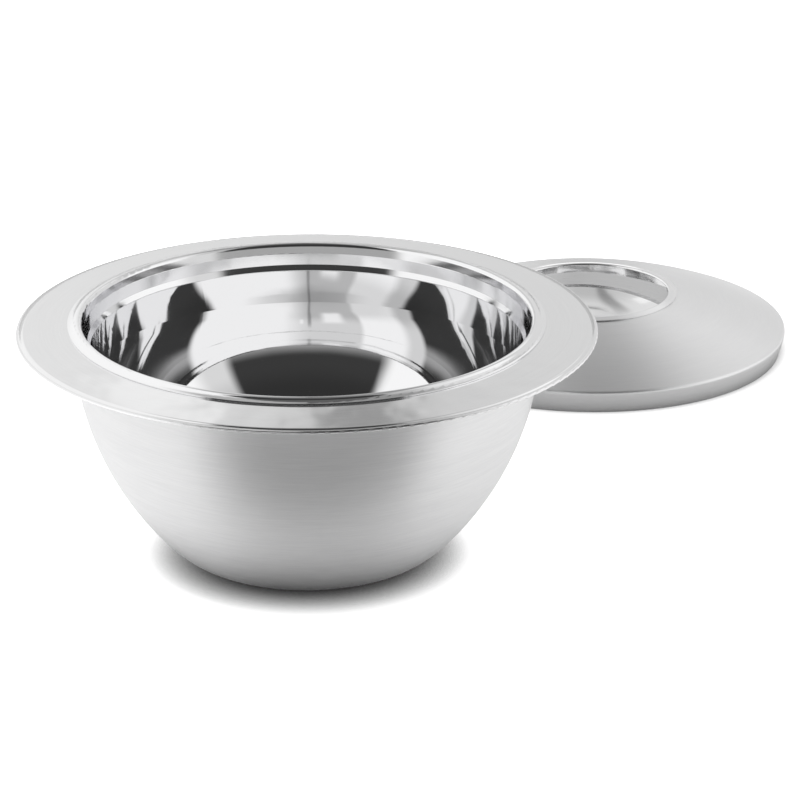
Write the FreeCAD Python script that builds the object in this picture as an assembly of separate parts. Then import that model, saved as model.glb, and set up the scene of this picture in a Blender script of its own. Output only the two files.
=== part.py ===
import FreeCAD, Part
import math
import os

# Insulated flatbread casserole. A double-walled steel bowl with a wide flange stands at
# the origin; its lift-off lid lies beside and behind it on the same surface.
# Millimetres, +Z up, the origin is the centre of the bowl's base.

os.makedirs("parts", exist_ok=True)

# ------------------------------------------------------------------ sheet and clearances
steel = 0.6                  # thickness of every pressed sheet
seam = 0.1                   # between two sheets that are seamed or welded together
foam_gap = 0.3               # foam stays this far from the steel that encloses it
lid_play = 0.1               # skirt's foot inside the wall of its seat
hole_play = 0.05             # hole radius beyond the rivet or stem that passes through

# ------------------------------------------------------------------ bowl: mouth
throat_radius = 96.8         # top of the inner bowl's tapered wall
throat_round = 0.9
ledge_width = 1.3            # ledge that the lid's skirt stands on, sloping up outwards
ledge_rise = 2.6
ledge_round = 0.5
seat_flare = 1.7             # wall around the lid, from the ledge up to the lip
seat_depth = 4.9
lip_lean = 1.4               # from the seat wall out to the lip's peak, before rounding
lip_rise = 6.6
lip_round = 2.3
lip_fall = 3.1               # from the peak down to the lip's foot on the flange
lip_overhang = 4.1
lip_foot_round = 3.5
lip_toe = 1.6                # lip runs on along the flange, beyond its foot

# ------------------------------------------------------------------ bowl: rim flange
rim_height = 107.3           # middle of the outer edge
flange_width = 24.7          # from the lip's foot to the outer edge
flange_tuck = 1.3            # flange reaches this far in under the lip's foot
flange_rise = 3.5            # inner edge above the outer one
fold_run = 5.5                # outer edge is folded back this far under the flange

# ------------------------------------------------------------------ bowl: inner bowl
wall_taper = 1.8             # degrees from upright
pan_corner_rise = 12.1       # foot of the wall above the shell's belly corner
pan_round = 78.0
floor_drop = 35.1            # floor below the foot of the wall, before rounding
floor_corner_width = 27.5    # run of the slanting tangent between floor and wall
floor_round = 9.0

# ------------------------------------------------------------------ bowl: outer shell
shell_inset = 0.1            # top of the shell outside the lip's foot
belly_lean = 3.6             # belly corner inside the shell's top
belly_corner_height = 47.9   # where the heel's slanting tangent meets the steep side
belly_round = 137.0
heel_run = 47.3              # run of that tangent down to the base plane
heel_round = 36.0

# ------------------------------------------------------------------ bowl: foam and plug
foam_drop = 3.0              # top of the foam below the throat
stem_radius = 4.9
collar_width = 1.1
collar_height = 1.2
collar_round = 0.5

# ------------------------------------------------------------------ lid: skins
lid_x = 144.0
lid_y = 270.5
lid_edge_height = 10.9
lid_edge_margin = 0.35       # seated lid's edge inside the peak of the lip
lid_edge_round = 1.6
dome_margin = 26.85          # from the lid's edge in to the dome's corner
dome_margin_rise = 11.7
dome_rise = 6.0              # from that corner up to the hole for the cup
dome_round = 240.0
cup_hole_radius = 41.5
underside_recess = 3.2       # lid's underside above the ring that it stands on
hem_width = 4.3              # width of that ring
hem_step = 2.3               # run of the slope between ring and recess
hem_round = 1.0
hem_top = 4.4                # height of the hem's wall inside the skirt

# ------------------------------------------------------------------ lid: cup and strap
cup_gap = 0.4                # between the cup's wall and the hole in the dome
cup_lip_overlap = 3.5        # cup's lip over the dome, outside that hole
cup_lip_rise = 1.0           # lip at the wall above its outer edge
cup_lip_round = 1.0
cup_depth = 6.4              # wall's foot below the hole's edge
cup_foot_round = 1.2
dish_slope = 6.0             # from the wall's foot down to the dish's corner
dish_slope_run = 18.1
dish_sag = 0.7               # dish's centre below that corner
dish_round = 80.0
strap_turn = -9.0            # degrees about Z from the X axis
strap_steel = 1.5
strap_drop = 1.2             # strap's ends below the cup's lip
strap_rise = 8.0             # crown above the two ends
strap_width = 18.6           # across the crown
strap_end_width = 25.6
tab_steel = 1.2
tab_lift = 1.1               # tab's lower edge above the foot of the cup's wall
tab_inset = 1.0              # tab's edges inside the strap's
rivet_radius = 1.1
rivet_rim = 0.8              # rivet's head beyond its shank
rivet_head = 0.8
rivet_spread = 8.0           # degrees each side of the strap's axis
rivet_lift = 1.6             # rivet's axis above the tab's lower edge

tiny = 0.001                 # roundings and edges below this are left out

AXIS = FreeCAD.Vector(0, 0, 1)
ORIGIN = FreeCAD.Vector(0, 0, 0)


# ------------------------------------------------------------------ profiles
# A profile is a list of corners (radius, height, rounding). Its sheet is made by
# shifting every corner sideways, so both skins keep the same distance everywhere.
def unit(a, b):
    run = b[0] - a[0]
    rise = b[1] - a[1]
    length = math.hypot(run, rise)
    return run / length, rise / length


def beside(corners, distance):
    """The profile shifted to the left of its direction, or to the right if negative."""
    shifted = []
    for i, (radius, height, rounding) in enumerate(corners):
        after = unit(*corners[i:i + 2]) if i < len(corners) - 1 else None
        before = unit(*corners[i - 1:i + 1]) if i > 0 else after
        after = after or before
        cross = before[0] * after[1] - before[1] * after[0]
        dot = before[0] * after[0] + before[1] * after[1]
        push = distance / (1 + dot)
        if rounding > 0:
            rounding = max(rounding - math.copysign(distance, distance * cross), 0)
        shifted.append((radius - (before[1] + after[1]) * push,
                        height + (before[0] + after[0]) * push, rounding))
    return shifted


def spot(p):
    return FreeCAD.Vector(p[0], 0, p[1])


def edges_along(corners):
    """Straight edges and arcs that follow the corners, in order."""
    edges = []
    start = corners[0][:2]
    for i in range(1, len(corners)):
        radius, height, rounding = corners[i]
        end = (radius, height)
        arc = None
        if rounding > tiny and i < len(corners) - 1:
            before = unit(corners[i - 1], corners[i])
            after = unit(corners[i], corners[i + 1])
            half = math.acos(before[0] * after[0] + before[1] * after[1]) / 2
            reach = rounding * math.tan(half)
            inward = unit(before, after)
            sag = rounding / math.cos(half) - rounding
            end = (radius - before[0] * reach, height - before[1] * reach)
            middle = (radius + inward[0] * sag, height + inward[1] * sag)
            leave = (radius + after[0] * reach, height + after[1] * reach)
            arc = Part.Arc(spot(end), spot(middle), spot(leave)).toShape()
        if math.dist(start, end) > tiny:
            edges.append(Part.makeLine(spot(start), spot(end)))
        start = end
        if arc:
            edges.append(arc)
            start = leave
    return edges


def turned(edges):
    """The solid of revolution whose half section these edges enclose."""
    wire = Part.Wire(Part.__sortEdges__(edges))
    return Part.Face(wire).revolve(ORIGIN, AXIS, 360).Solids[0]


def filled(corners):
    return turned(edges_along(corners + corners[:1]))


def pressed(corners, thickness):
    """A pressed sheet, its thickness to the left of the profile, or right if negative."""
    other = beside(corners, thickness)
    ends = []
    for near, far in ((corners[0], other[0]), (corners[-1], other[-1])):
        ends.append(Part.makeLine(spot(near), spot(far)))
    return turned(edges_along(corners) + edges_along(other) + ends)


def cylinder(radius, low, high):
    return Part.makeCylinder(radius, high - low, FreeCAD.Vector(0, 0, low), AXIS)


def height_on(a, b, radius):
    """Height at this radius on the straight line through two corners."""
    return a[1] + (b[1] - a[1]) * (radius - a[0]) / (b[0] - a[0])


def save(name, shape):
    shape.exportStep("parts/" + name + ".step")
    box = shape.BoundBox
    print(name, len(shape.Solids), shape.isValid(), round(shape.Volume), round(box.XMin, 1),
          round(box.XMax, 1), round(box.YMin, 1), round(box.YMax, 1), round(box.ZMin, 2),
          round(box.ZMax, 2))


# ------------------------------------------------------------------ bowl: rim flange
# A ring that slopes down outwards. Its edge is folded back flat under itself.
seat_radius = throat_radius + ledge_width
lip_start_radius = seat_radius + seat_flare
crest_radius = lip_start_radius + lip_lean
lip_foot_radius = crest_radius + lip_overhang
rim_radius = lip_foot_radius + flange_width
flange_slope = flange_rise / (flange_width + flange_tuck)
fold_round = steel + seam
fold_reach = fold_round * math.hypot(1, flange_slope)
rim_top = rim_height + fold_reach
rim_bottom = rim_height - fold_reach
flange_profile = [
    (lip_foot_radius - flange_tuck, rim_top + flange_rise, 0),
    (rim_radius, rim_top, fold_round),
    (rim_radius, rim_bottom, fold_round),
    (rim_radius - fold_run, rim_bottom + fold_run * flange_slope, 0),
]
flange_underside = beside(flange_profile, -steel)
save("rim_flange", pressed(flange_profile, -steel))

# ------------------------------------------------------------------ bowl: outer shell
# Flat base, round heel and a belly that grows steeper up to the flange's underside.
plug_hole = stem_radius + hole_play
shell_top_radius = lip_foot_radius + shell_inset
belly_corner_radius = shell_top_radius - belly_lean
heel_corner_radius = belly_corner_radius - heel_run
shell_profile = [
    (plug_hole, 0, 0),
    (heel_corner_radius, 0, heel_round),
    (belly_corner_radius, belly_corner_height, belly_round),
    (shell_top_radius, height_on(*flange_underside[:2], shell_top_radius) - seam, 0),
]
save("outer_shell", pressed(shell_profile, steel))

# ------------------------------------------------------------------ bowl: inner bowl
# One drawing from floor to lip: flat floor, soft corner, tapered wall, the ledge and
# the wall that hold the lid's skirt, and a lip rolled outwards onto the flange.
lip_foot_height = height_on(*flange_profile[:2], lip_foot_radius) + steel + seam
lip_end_radius = lip_foot_radius + lip_toe
crest_height = lip_foot_height + lip_fall
lip_start_height = crest_height - lip_rise
seat_height = lip_start_height - seat_depth
throat_height = seat_height - ledge_rise
pan_corner_height = belly_corner_height + pan_corner_rise
pan_corner_radius = throat_radius - (throat_height - pan_corner_height) * math.tan(
    math.radians(wall_taper))
floor_corner_radius = pan_corner_radius - floor_corner_width
floor_height = pan_corner_height - floor_drop
pan_profile = [
    (0, floor_height, 0),
    (floor_corner_radius, floor_height, floor_round),
    (pan_corner_radius, pan_corner_height, pan_round),
    (throat_radius, throat_height, throat_round),
    (seat_radius, seat_height, ledge_round),
    (lip_start_radius, lip_start_height, lip_round),
    (crest_radius, crest_height, lip_round),
    (lip_foot_radius, lip_foot_height, lip_foot_round),
    (lip_end_radius, lip_foot_height - lip_toe * flange_slope, 0),
]
save("inner_bowl", pressed(pan_profile, -steel))

# ------------------------------------------------------------------ bowl: fill plug
# A stem flush with the base closes the hole the foam was poured through; a wider
# collar behind the sheet keeps it in.
collar_radius = stem_radius + collar_width
collar_foot = steel + seam
collar_top = collar_foot + collar_height
save("fill_plug", filled([
    (0, 0, 0),
    (stem_radius, 0, 0),
    (stem_radius, collar_foot, 0),
    (collar_radius, collar_foot, 0),
    (collar_radius, collar_top, collar_round),
    (0, collar_top, 0),
]))

# ------------------------------------------------------------------ bowl: insulation
# Foam that fills the space between shell and inner bowl, with a pocket for the plug.
foam_skin = beside([(0, 0, 0)] + shell_profile[1:], steel + foam_gap)
bowl_back = beside(pan_profile, -steel - foam_gap)
foam_block = filled(foam_skin + [(0, foam_skin[-1][1], 0)])
pan_room = filled(bowl_back[:4] + [(bowl_back[3][0], crest_height, 0), (0, crest_height, 0)])
foam = foam_block.cut(pan_room)
foam = foam.cut(cylinder(rim_radius, throat_height - foam_drop, crest_height))
foam = foam.cut(cylinder(collar_radius + foam_gap, 0, collar_top + foam_gap))
save("bowl_insulation", foam.Solids[0])


# ------------------------------------------------------------------ lid: placing
def place_lid(name, shape):
    save(name, shape.translated(FreeCAD.Vector(lid_x, lid_y, 0)))


# ------------------------------------------------------------------ lid: top skin
# Dome, rounded edge and tapered skirt in one pressing. The skirt's foot stands on the
# bowl's ledge, which brings the lid's edge up to the crest of the lip.
skirt_radius = seat_radius - lid_play
lid_edge_radius = crest_radius - lid_edge_margin
dome_corner_height = lid_edge_height + dome_margin_rise
cup_hole_height = dome_corner_height + dome_rise
lid_profile = [
    (cup_hole_radius, cup_hole_height, 0),
    (lid_edge_radius - dome_margin, dome_corner_height, dome_round),
    (lid_edge_radius, lid_edge_height, lid_edge_round),
    (skirt_radius, 0, 0),
]
place_lid("lid_top", pressed(lid_profile, -steel))

# ------------------------------------------------------------------ lid: underside pan
# A recessed disc with a flat hem ring, seamed inside the skirt.
hem_lean = (lid_edge_radius - skirt_radius) / lid_edge_height
hem_radius = skirt_radius - (steel + seam) * math.hypot(1, hem_lean)
hem_inner = hem_radius - hem_width
under_profile = [
    (0, underside_recess, 0),
    (hem_inner - hem_step, underside_recess, 2 * hem_round),
    (hem_inner, 0, hem_round),
    (hem_radius, 0, hem_round),
    (hem_radius + hem_top * hem_lean, hem_top, 0),
]
place_lid("lid_pan", pressed(under_profile, steel))

# ------------------------------------------------------------------ lid: handle cup
# A dish sunk into the dome, with an upright wall and a lip that lies on the dome.
cup_radius = cup_hole_radius - cup_gap - steel
cup_lip_radius = cup_hole_radius + cup_lip_overlap
cup_lip_height = height_on(*lid_profile[:2], cup_lip_radius) + steel + seam
cup_wall_foot = cup_hole_height - cup_depth
dish_corner_height = cup_wall_foot - dish_slope
cup_profile = [
    (0, dish_corner_height - dish_sag, 0),
    (cup_radius - dish_slope_run, dish_corner_height, dish_round),
    (cup_radius, cup_wall_foot, cup_foot_round),
    (cup_radius, cup_lip_height + cup_lip_rise, cup_lip_round),
    (cup_lip_radius, cup_lip_height, 0),
]
handle_cup = pressed(cup_profile, -steel)

# ------------------------------------------------------------------ lid: handle strap
# An arched strap over the dish, wider at its ends, with a down-turned tab at each end
# that follows the cup's upright wall.
tab_radius = cup_radius - seam
strap_end_height = cup_lip_height - strap_drop
arch_round = (tab_radius ** 2 + strap_rise ** 2) / (2 * strap_rise)
arch_corner = strap_end_height + tab_radius * math.tan(2 * math.atan(strap_rise / tab_radius))
arch = [
    (-cup_lip_radius, height_on((-tab_radius, strap_end_height), (0, arch_corner),
                                -cup_lip_radius), 0),
    (0, arch_corner, arch_round),
    (cup_lip_radius, height_on((tab_radius, strap_end_height), (0, arch_corner),
                               cup_lip_radius), 0),
]
arch_back = beside(arch, -strap_steel)
arch_ends = [Part.makeLine(spot(arch[i]), spot(arch_back[i])) for i in (0, -1)]
arch_wire = Part.Wire(Part.__sortEdges__(edges_along(arch) + edges_along(arch_back) + arch_ends))
band = Part.Face(arch_wire).extrude(FreeCAD.Vector(0, 2 * strap_end_width, 0))
band.translate(FreeCAD.Vector(0, -strap_end_width, 0))

plan = []
for side in (-1, 1):
    ends = [FreeCAD.Vector(x, side * strap_end_width / 2, 0) for x in (-tab_radius, tab_radius)]
    waist = FreeCAD.Vector(0, side * strap_width / 2, 0)
    plan.append(Part.Arc(ends[0], waist, ends[1]).toShape())
for x in (-tab_radius, tab_radius):
    ends = [FreeCAD.Vector(x, side * strap_end_width / 2, 0) for side in (-1, 1)]
    plan.append(Part.makeLine(ends[0], ends[1]))
outline = Part.Face(Part.Wire(Part.__sortEdges__(plan)))
band = band.common(outline.extrude(FreeCAD.Vector(0, 0, crest_height)))
band = band.common(cylinder(tab_radius, 0, crest_height))

tab_foot = cup_wall_foot + tab_lift
tab_width = strap_end_width - 2 * tab_inset
tabs = cylinder(tab_radius, tab_foot, strap_end_height)
tabs = tabs.cut(cylinder(tab_radius - tab_steel, 0, crest_height))
tabs = tabs.common(Part.makeBox(4 * tab_radius, tab_width, crest_height,
                                FreeCAD.Vector(-2 * tab_radius, -tab_width / 2, 0)))
strap = band.fuse(tabs).removeSplitter()
strap.rotate(ORIGIN, AXIS, strap_turn)

# ------------------------------------------------------------------ lid: handle rivets
# Two rivets hold each tab, flush with its inner face and headed behind the cup's wall.
head_start = cup_radius + steel + hole_play
rivet_height = tab_foot + rivet_lift
rivet_head_radius = rivet_radius + rivet_rim
rivets = []
holes = []
for end in (0, 180):
    for side in (-rivet_spread, rivet_spread):
        for radius, start, finish, kept in (
                (rivet_radius, tab_radius - tab_steel, head_start, rivets),
                (rivet_radius + hole_play, tab_radius - 2 * tab_steel, head_start, holes)):
            pin = Part.makeCylinder(radius, finish - start,
                                    FreeCAD.Vector(start, 0, rivet_height),
                                    FreeCAD.Vector(1, 0, 0))
            if kept is rivets:
                pin = pin.fuse(Part.makeCylinder(rivet_head_radius, rivet_head,
                                                 FreeCAD.Vector(finish, 0, rivet_height),
                                                 FreeCAD.Vector(1, 0, 0)))
            pin.rotate(ORIGIN, AXIS, end + side + strap_turn)
            kept.append(pin.Solids[0])
place_lid("handle_cup", handle_cup.cut(holes).Solids[0])
place_lid("handle_strap", strap.cut(holes).Solids[0])
place_lid("handle_rivets", Part.makeCompound(rivets))

# ------------------------------------------------------------------ lid: insulation
# Foam between dome and underside, with room for the cup and for the rivet heads.
dome_back = beside(lid_profile, -steel - foam_gap)
hem_back = beside(under_profile, steel + foam_gap)
hollow = [
    (0, hem_back[0][1], 0),
    (hem_back[-1][0] - foam_gap, hem_back[0][1], 0),
    dome_back[2],
    dome_back[1],
    (dome_back[0][0], dome_back[0][1], 0),
    (0, dome_back[0][1], 0),
]
cup_back = beside(cup_profile, -steel - foam_gap)
cup_room = filled(cup_back[:3] + [(cup_back[2][0], crest_height, 0), (0, crest_height, 0)])
head_room = cylinder(head_start + rivet_head + foam_gap,
                     rivet_height - rivet_head_radius - foam_gap, crest_height)
lid_foam = filled(hollow).cut(cup_room).cut(head_room)
place_lid("lid_insulation", lid_foam.Solids[0])
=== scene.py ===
import math

import bpy
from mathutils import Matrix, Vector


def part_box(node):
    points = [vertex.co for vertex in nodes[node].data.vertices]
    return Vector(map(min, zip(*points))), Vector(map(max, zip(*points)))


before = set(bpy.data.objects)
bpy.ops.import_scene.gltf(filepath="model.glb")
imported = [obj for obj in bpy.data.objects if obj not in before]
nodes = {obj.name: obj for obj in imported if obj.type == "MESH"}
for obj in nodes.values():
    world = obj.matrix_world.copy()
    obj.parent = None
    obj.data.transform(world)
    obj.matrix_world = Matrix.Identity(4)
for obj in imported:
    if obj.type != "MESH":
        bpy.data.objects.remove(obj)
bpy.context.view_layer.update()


# ---------------------------------------------------------------- outer shell
# The deep bowl that is seen from outside: one disc of stainless steel, drawn to a round
# belly on a small flat base, then brushed around its axis on a lathe while it turns.
class Value:
    """A socket of a finish. Arithmetic on it adds Math nodes."""

    def __init__(self, finish, socket):
        self.finish = finish
        self.socket = socket

    def maths(self, operation, *others):
        inputs = dict(enumerate((self,) + others))
        return self.finish.node("Math", {"operation": operation}, inputs)

    def __add__(self, other):
        return self.maths("ADD", other)

    def __sub__(self, other):
        return self.maths("SUBTRACT", other)

    def __mul__(self, other):
        return self.maths("MULTIPLY", other)

    def __truediv__(self, other):
        return self.maths("DIVIDE", other)

    def __rsub__(self, other):
        return self.finish.node("Math", {"operation": "SUBTRACT"}, {0: other, 1: self})

    __radd__ = __add__
    __rmul__ = __mul__

    def between(self, low, high):
        """0 below low, 1 above high, smooth from one to the other."""
        return self.finish.node("MapRange", {"interpolation_type": "SMOOTHSTEP"},
                                {"Value": self, "From Min": low, "From Max": high})

    def near(self, centre, full, none):
        """1 up to the first distance from the centre, 0 from the second one on."""
        return 1 - (self - centre).maths("ABSOLUTE").between(full, none)

    def past(self, low, high):
        """How far the value is past low, counted up to high and no further."""
        return (self - low).maths("MAXIMUM", 0.0).maths("MINIMUM", high - low)

    def towards(self, target, share):
        """The value, moved by this share of the way to the target."""
        return self + (target - self) * share


class Finish:
    """The finish of one piece, built up as nodes around the shader of its material."""

    def __init__(self, name, **constants):
        self.material = bpy.data.materials.new(name)
        self.material.use_nodes = True
        self.tree = self.material.node_tree
        self.surface = self.tree.nodes["Principled BSDF"]
        for socket, value in constants.items():
            self.surface.inputs[socket.replace("_", " ")].default_value = value

    def feed(self, socket, value):
        if isinstance(value, Value):
            self.tree.links.new(value.socket, socket)
        else:
            socket.default_value = value

    def node(self, kind, settings, inputs, output=0):
        made = self.tree.nodes.new("ShaderNode" + kind)
        for name, value in settings.items():
            setattr(made, name, value)
        for socket, value in inputs.items():
            self.feed(made.inputs[socket], value)
        return Value(self, made.outputs[output])

    def blend(self, factor, first, second):
        """One colour where the factor is 0, another where it is 1."""
        settings = {"data_type": "RGBA"}
        return self.node("Mix", settings, {0: factor, 6: first, 7: second}, 2)

    def dress(self, *pieces, **varying):
        for socket, value in varying.items():
            self.feed(self.surface.inputs[socket.replace("_", " ")], value)
        for piece in pieces:
            nodes[piece].data.materials.clear()
            nodes[piece].data.materials.append(self.material)


class Turned:
    """Where a point lies on a piece that was turned about an upright axis."""

    def __init__(self, finish, centre=(0.0, 0.0), climb=1.0):
        self.finish = finish
        place = finish.node("TexCoord", {}, {}, 3)
        self.place = finish.node("VectorMath", {"operation": "SUBTRACT"},
                                 {0: place, 1: (centre[0], centre[1], 0.0)})
        self.x, self.y, self.height = (
            finish.node("SeparateXYZ", {}, {0: self.place}, axis) for axis in range(3))
        self.radius = (self.x * self.x + self.y * self.y).maths("SQRT")
        self.along = self.radius + self.height * climb

    def streaks(self, width, length, detail=2.0):
        """Marks that run around the axis, width metres across and length radians long."""
        inputs = {"X": self.x / self.radius / length, "Y": self.y / self.radius / length,
                  "Z": self.along / width}
        around = self.finish.node("CombineXYZ", {}, inputs)
        return self.finish.node("TexNoise", {}, {"Vector": around, "Scale": 1.0,
                                                 "Detail": detail, "Roughness": 0.6})

    def cloud(self, size, detail=2.0):
        """Soft patches of about this size, in metres."""
        return self.finish.node("TexNoise", {}, {"Vector": self.place, "Scale": 1 / size,
                                                 "Detail": detail, "Roughness": 0.5})

    def raised(self, height, depth):
        """The surface normal of a relief this many metres deep."""
        return self.finish.node("Bump", {}, {"Strength": 1.0, "Distance": depth,
                                             "Height": height})


shell = Finish("brushed_shell", Metallic=1.0, Anisotropic=0.8, Anisotropic_Rotation=0.25)
turned = Turned(shell)
fine = turned.streaks(0.0007, 0.16, 3.0)
broad = turned.streaks(0.006, 0.9)
patches = turned.cloud(0.05)
shell.dress(
    "outer_shell",
    Base_Color=shell.blend(fine * 0.7 + broad * 0.3, (0.72, 0.72, 0.725, 1), (0.92, 0.92, 0.92, 1)),
    Roughness=0.48 + (fine - 0.5) * 0.12 + (patches - 0.5) * 0.10,
    Normal=turned.raised(fine, 0.000012),
)

# ---------------------------------------------------------------- rim flange
# A broad ring of polished steel that slopes away from the mouth, slightly wavy from the
# press. Its outer edge is folded back flat under it. A smooth relief makes the shading of
# the slope a little flatter, and rounds its edge over to the fold.
flange = Finish("polished_flange", Metallic=1.0)
turned = Turned(flange)
fine = turned.streaks(0.0006, 0.35, 3.0)
wavy = turned.cloud(0.03)
edge = turned.radius.between(0.1272, 0.1292)
rounding = turned.radius.between(0.1266, 0.1292)
hairline_depth = 0.0000024
wave_depth = 0.0005
flattening = 0.05
rounding_depth = 0.0017
relief = fine * hairline_depth + wavy * wave_depth
relief = relief + turned.radius * flattening - rounding * rounding_depth
flange.dress(
    "rim_flange",
    Base_Color=flange.blend(fine, (0.85, 0.85, 0.855, 1), (0.92, 0.92, 0.92, 1)),
    Roughness=0.10 + (fine - 0.5) * 0.05 + (wavy - 0.5) * 0.05 + edge * 0.10,
    Normal=turned.raised(relief, 1.0),
)

# ---------------------------------------------------------------- inner bowl
# The pan that holds the bread, drawn in one piece with the ledge, the wall around the lid
# and the lip. It is buffed to a mirror, slightly uneven, with a few specks on its floor.
# A smooth relief tilts the shading of the ledge, of that wall and of the lip's flank.
pan = Finish("mirror_pan", Metallic=1.0)
turned = Turned(pan)
waves = turned.cloud(0.028, 1.0)
hairlines = turned.streaks(0.0005, 0.5, 3.0)
smear = turned.cloud(0.02, 4.0).between(0.45, 0.75)
cells = pan.node("TexVoronoi", {}, {"Vector": turned.place, "Scale": 420.0})
on_floor = 1 - turned.height.between(0.0378, 0.0400)
specks = (1 - cells.between(0.06, 0.10)) * on_floor * turned.cloud(0.012).between(0.5, 0.62)
rim = turned.height.between(0.1005, 0.1030)
lip_crest = 0.1015
flank = (turned.radius - lip_crest).maths("MAXIMUM", 0.0)
inside_crest = 1 - flank.between(0.0, 0.0002)
seat = turned.height.past(0.1036, 0.1084) * inside_crest
ledge = turned.height.past(0.1008, 0.1036)
wave_depth = 0.0001
hairline_depth = 0.0000006
flank_tilt = 0.3
seat_tilt = 0.28
ledge_tilt = 0.12
relief = waves * wave_depth + hairlines * hairline_depth
relief = relief - flank * flank_tilt + seat * seat_tilt + ledge * ledge_tilt
pan.dress(
    "inner_bowl",
    Base_Color=pan.blend(specks, (0.92, 0.92, 0.925, 1), (0.9, 0.9, 0.89, 1)),
    Metallic=1 - specks,
    Roughness=0.015 + hairlines * 0.02 + smear * 0.03 + specks * 0.4 + rim * 0.05,
    Normal=turned.raised(relief, 1.0),
)

# ---------------------------------------------------------------- bowl insulation
# Rigid foam that is poured between the two bowls through the base, and sets there. The
# lid is filled with the same foam.
foam = Finish("foam", Roughness=0.9, Specular_IOR_Level=0.2)
turned = Turned(foam)
cells = foam.node("TexVoronoi", {}, {"Vector": turned.place, "Scale": 900.0})
mottle = turned.cloud(0.01, 3.0)
foam.dress(
    "bowl_insulation", "lid_insulation",
    Base_Color=foam.blend(mottle, (0.72, 0.61, 0.36, 1), (0.86, 0.78, 0.55, 1)),
    Normal=turned.raised(cells, 0.0004),
)

# ---------------------------------------------------------------- fill plug
# A small stopper moulded in dark plastic. It is pushed into the hole in the base once the
# foam has set.
plug = Finish("plug_plastic", Specular_IOR_Level=0.4)
turned = Turned(plug)
grain = turned.cloud(0.0008, 4.0)
plug.dress(
    "fill_plug",
    Base_Color=plug.blend(grain, (0.035, 0.035, 0.037, 1), (0.06, 0.06, 0.062, 1)),
    Roughness=0.5 + grain * 0.2,
    Normal=turned.raised(grain, 0.00005),
)

# ---------------------------------------------------------------- lid skins
# The dome with its skirt is pressed in one and brushed around its axis to a soft satin.
# The recessed underside is a second pressing, seamed inside the skirt.
low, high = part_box("lid_top")
lid_centre = ((low.x + high.x) / 2, (low.y + high.y) / 2)
satin = Finish("satin_lid", Metallic=1.0, Anisotropic=0.7, Anisotropic_Rotation=0.25)
turned = Turned(satin, lid_centre, -1.0)
fine = turned.streaks(0.0007, 0.16, 3.0)
broad = turned.streaks(0.008, 1.2)
patches = turned.cloud(0.06)
satin.dress(
    "lid_top",
    Base_Color=satin.blend(fine * 0.7 + broad * 0.3, (0.84, 0.84, 0.845, 1), (0.95, 0.95, 0.95, 1)),
    Roughness=0.40 + (fine - 0.5) * 0.10 + (patches - 0.5) * 0.08,
    Normal=turned.raised(fine, 0.000010),
)
under = Finish("satin_underside", Metallic=1.0, Anisotropic=0.3, Anisotropic_Rotation=0.25)
turned = Turned(under, lid_centre)
fine = turned.streaks(0.0009, 0.4, 3.0)
scuffs = turned.cloud(0.004, 5.0).between(0.55, 0.7) * (1 - turned.height.between(0.0002, 0.0009))
under.dress(
    "lid_pan",
    Base_Color=under.blend(fine, (0.62, 0.62, 0.62, 1), (0.78, 0.78, 0.78, 1)),
    Roughness=0.28 + fine * 0.10 + scuffs * 0.25,
    Normal=turned.raised(fine, 0.000012),
)

# ---------------------------------------------------------------- handle cup
# A dish spun from thin sheet and buffed bright, let into the hole in the dome. Its rolled
# lip lies on the dome and leaves a thin bright ring around the dish.
cup = Finish("mirror_cup", Metallic=1.0)
turned = Turned(cup, lid_centre)
waves = turned.cloud(0.02, 1.0)
fine = turned.streaks(0.0006, 0.5, 3.0)
cup.dress(
    "handle_cup",
    Base_Color=cup.blend(fine, (0.88, 0.88, 0.885, 1), (0.95, 0.95, 0.95, 1)),
    Roughness=0.06 + fine * 0.06,
    Normal=turned.raised(waves * 12.0 + fine * 0.2, 0.000005),
)

# ---------------------------------------------------------------- handle strap
# A strip of sheet bent to a low arch over the dish, its ends turned down and riveted to
# the dish's wall. It is brushed along its length, and rubbed brighter along its edges.
strap = Finish("satin_strap", Metallic=1.0)
turned = Turned(strap, lid_centre)
turn = math.radians(-9.0)
length_way = turned.x * math.cos(turn) + turned.y * math.sin(turn)
cross_way = turned.y * math.cos(turn) - turned.x * math.sin(turn)
strip = strap.node("CombineXYZ", {}, {"X": length_way / 0.012, "Y": cross_way / 0.0005,
                                      "Z": turned.height / 0.004})
grain = strap.node("TexNoise", {}, {"Vector": strip, "Scale": 1.0, "Detail": 3.0})
rubbed = cross_way.maths("ABSOLUTE").between(0.0075, 0.0105)
strap.dress(
    "handle_strap",
    Base_Color=strap.blend(grain, (0.54, 0.54, 0.545, 1), (0.70, 0.70, 0.70, 1)),
    Roughness=0.30 + (grain - 0.5) * 0.12 - rubbed * 0.06,
    Normal=strap.node("Bump", {}, {"Strength": 1.0, "Distance": 0.00001, "Height": grain}),
)

# ---------------------------------------------------------------- handle rivets
# Four short steel rivets, two to a tab, set flush with the tabs' inner faces. They hold
# the strap to the dish's wall.
rivet = Finish("rivet_steel", Metallic=1.0)
turned = Turned(rivet, lid_centre)
dents = turned.cloud(0.0012, 3.0)
rivet.dress(
    "handle_rivets",
    Base_Color=rivet.blend(dents, (0.60, 0.60, 0.60, 1), (0.78, 0.78, 0.77, 1)),
    Roughness=0.2 + dents * 0.15,
    Normal=turned.raised(dents, 0.00004),
)

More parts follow.
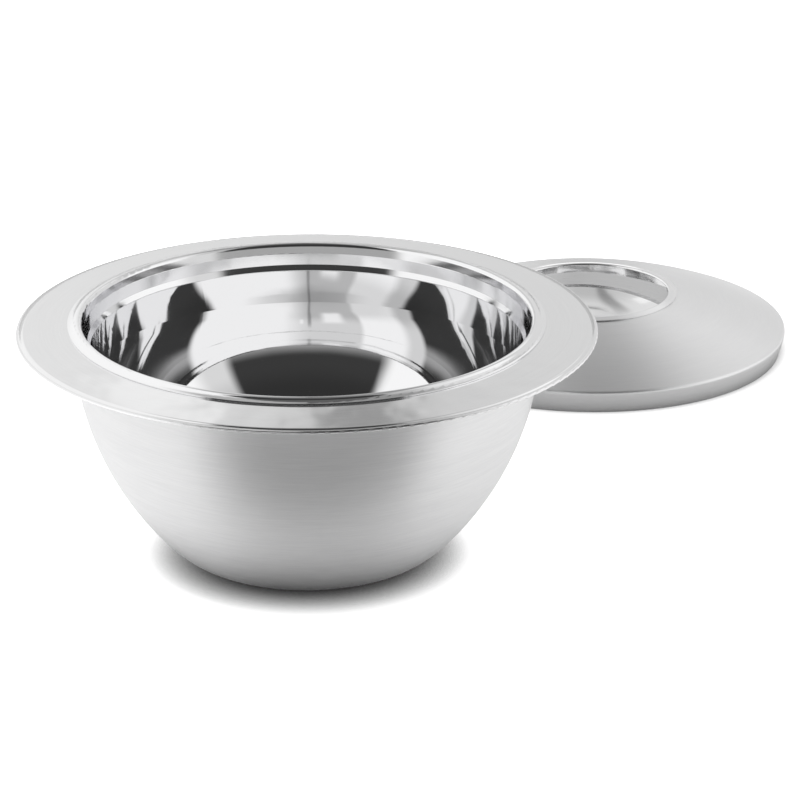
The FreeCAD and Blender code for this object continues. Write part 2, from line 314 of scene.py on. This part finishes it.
# ---------------------------------------------------------------- table
# A matt round sheet of card. Painted shadow darkens its colour where something stands
# close above it, and painted shade dims it in front of the bowl, under it and round the
# lid. The eye sees it lifted to white, and reflections see only a little of that lift.
bpy.ops.mesh.primitive_circle_add(vertices=96, radius=1.2, fill_type="NGON",
                                  location=(0, 0, -0.0002))
table = bpy.context.object
table.name = "table"
shade_reach = 0.020
card = Finish("white_card", Roughness=0.8, Specular_IOR_Level=0.1)
place = card.node("TexCoord", {}, {}, 3)
speckle = card.node("TexNoise", {}, {"Vector": place, "Scale": 60.0, "Detail": 3.0})
# Painted contact shadow: how open the card is above, within that reach, darkens its colour and its
# lift to white.
open_above = card.node("AmbientOcclusion", {"samples": 8}, {"Distance": shade_reach}, 1)
painted_contact_shade = open_above.between(0.0, 0.82)
east, north = (card.node("SeparateXYZ", {}, {0: place}, axis) for axis in range(2))
# Painted shade in the card's colour: it dims the card in front of the bowl, round the lid and under
# the bowl, where the steel reflects the floor.
forward = 0 - north
sideways = (east - forward * 0.20).maths("ABSOLUTE") / forward
painted_shade_in_front = forward.between(0.108, 0.165) * (1 - forward.between(0.29, 0.36) * 0.8)
painted_shade_in_front = painted_shade_in_front * (1 - sideways.between(0.50, 1.60))
from_lid = card.node("VectorMath", {"operation": "DISTANCE"},
                     {0: place, 1: (lid_centre[0], lid_centre[1], 0.0)}, 1)
lid_share = 0.6
painted_shade_round_lid = (1 - from_lid.between(0.100, 0.165)) * lid_share
from_bowl = (east * east + north * north).maths("SQRT")
painted_shade_under_bowl = 1 - from_bowl.between(0.060, 0.108)
painted_dimming = painted_shade_in_front.maths("MAXIMUM", painted_shade_round_lid).maths("MAXIMUM", painted_shade_under_bowl)
deepest_painted_dimming = 0.94
# The card's colour, with the painted contact shadow and the painted shade in it.
paleness_with_painted_shade = painted_contact_shade * (0.97 + speckle * 0.03) * (1 - painted_dimming * deepest_painted_dimming)
card.dress(Base_Color=card.blend(paleness_with_painted_shade, (0.06, 0.06, 0.06, 1), (0.95, 0.95, 0.95, 1)))
rays = card.tree.nodes.new("ShaderNodeLightPath")
lift = sum(Value(card, rays.outputs[ray]) * share for ray, share in (
    ("Is Camera Ray", 0.97), ("Is Glossy Ray", 0.06), ("Is Transmission Ray", 0.06)))
glow = card.node("Emission", {}, {"Color": (1, 1, 1, 1), "Strength": 1.0})
lifted = card.node("MixShader", {}, {0: lift * painted_contact_shade, 2: glow})
both = card.node("AddShader", {}, {0: Value(card, card.surface.outputs[0]), 1: lifted})
card.feed(card.tree.nodes["Material Output"].inputs["Surface"], both)
table.data.materials.append(card.material)

# ---------------------------------------------------------------- light tent
# A round white tent stands over the table: bright cloth at both sides, greyer behind and
# at the top, dark towards the front. Three patches are set to place highlights: a darker
# upright strip, a bright bar and a soft bright lobe. Only reflections see the tent.
bpy.ops.mesh.primitive_uv_sphere_add(segments=96, ring_count=48, radius=3.0, location=(0, 0.1, 0))
tent = bpy.context.object
tent.name = "light_tent"
cloth = Finish("tent_cloth")
place = cloth.node("TexCoord", {}, {}, 3)
outward = cloth.node("VectorMath", {"operation": "NORMALIZE"}, {0: place})
east, north, up = (cloth.node("SeparateXYZ", {}, {0: outward}, axis) for axis in range(3))
bearing = east.maths("ARCTAN2", north) * math.degrees(1)
rise = up.maths("ARCSINE") * math.degrees(1)
left = (0 - bearing).between(-8, 34) * (1 - (0 - bearing).between(127, 135))
right = bearing.between(58, 66) * (1 - bearing.between(106, 120))
front = bearing.maths("ABSOLUTE").between(130, 138)
near_table = 1 - rise.between(12, 22)
white = 1.0
behind = 0.73 - rise.between(26, 44) * 0.20
beside = 1.02 - rise.between(32, 50) * 0.24
front_loss = 0.94 - near_table * 0.48
side_level = behind.towards(white, left) + right * (beside - behind)
side_level = side_level * (1 - front * front_loss)
top_front_loss = 0.6
top_level = (0.30 + left * 0.14) * (1 - front * top_front_loss)
level = side_level.towards(top_level, rise.between(54, 68))
dark_strip = bearing.near(2.5, 0.8, 2.8) * rise.between(12, 30)
bright_bar = bearing.near(-6.4, 1.2, 3.0) * rise.near(30, 3, 6)
soft_lobe = bearing.near(29, 6, 17) * rise.near(38, 6, 15)
strip_share = 0.5
bar_share = 0.8
lobe_share = 0.9
level = level * (1 - dark_strip * strip_share)
level = level.towards(white, bright_bar * bar_share).towards(white, soft_lobe * lobe_share)
cloth_glow = cloth.node("Emission", {}, {"Color": level, "Strength": 1.0})
cloth.feed(cloth.tree.nodes["Material Output"].inputs["Surface"], cloth_glow)
tent.data.materials.append(cloth.material)
for ray in ("camera", "diffuse", "shadow", "volume_scatter", "transmission"):
    setattr(tent, "visible_" + ray, False)

# ---------------------------------------------------------------- lamps and world
# Even white light from all round, and one broad soft lamp high on the left. Reflections
# don't show the lamp.
world = bpy.data.worlds.new("studio")
bpy.context.scene.world = world
world.use_nodes = True
sky = world.node_tree
background = sky.nodes["Background"]
background.inputs["Color"].default_value = (1, 1, 1, 1)
background.inputs["Strength"].default_value = 1.0
lamp = bpy.data.lights.new("soft_lamp", "AREA")
lamp.size = 1.6
lamp.energy = 14
soft_lamp = bpy.data.objects.new("soft_lamp", lamp)
bpy.context.scene.collection.objects.link(soft_lamp)
soft_lamp.location = (-1.1, -0.5, 1.9)
soft_lamp.rotation_euler = (math.radians(16), math.radians(-30), 0)
soft_lamp.visible_glossy = False

# ---------------------------------------------------------------- camera
# Stands in front of the bowl, looking down at it through a long lens. The pan's wall
# reflects itself many times at the sides, so reflections get twelve bounces.
view = bpy.data.cameras.new("camera")
view.lens = 200
view.sensor_width = 36
camera = bpy.data.objects.new("camera", view)
bpy.context.scene.collection.objects.link(camera)
camera.location = (0.0, -1.8696, 0.7833)
camera.rotation_euler = (math.radians(90 - 20.808), 0, math.radians(-1.274))
bpy.context.scene.camera = camera
bpy.context.scene.view_settings.view_transform = "Standard"
bpy.context.scene.cycles.glossy_bounces = 12
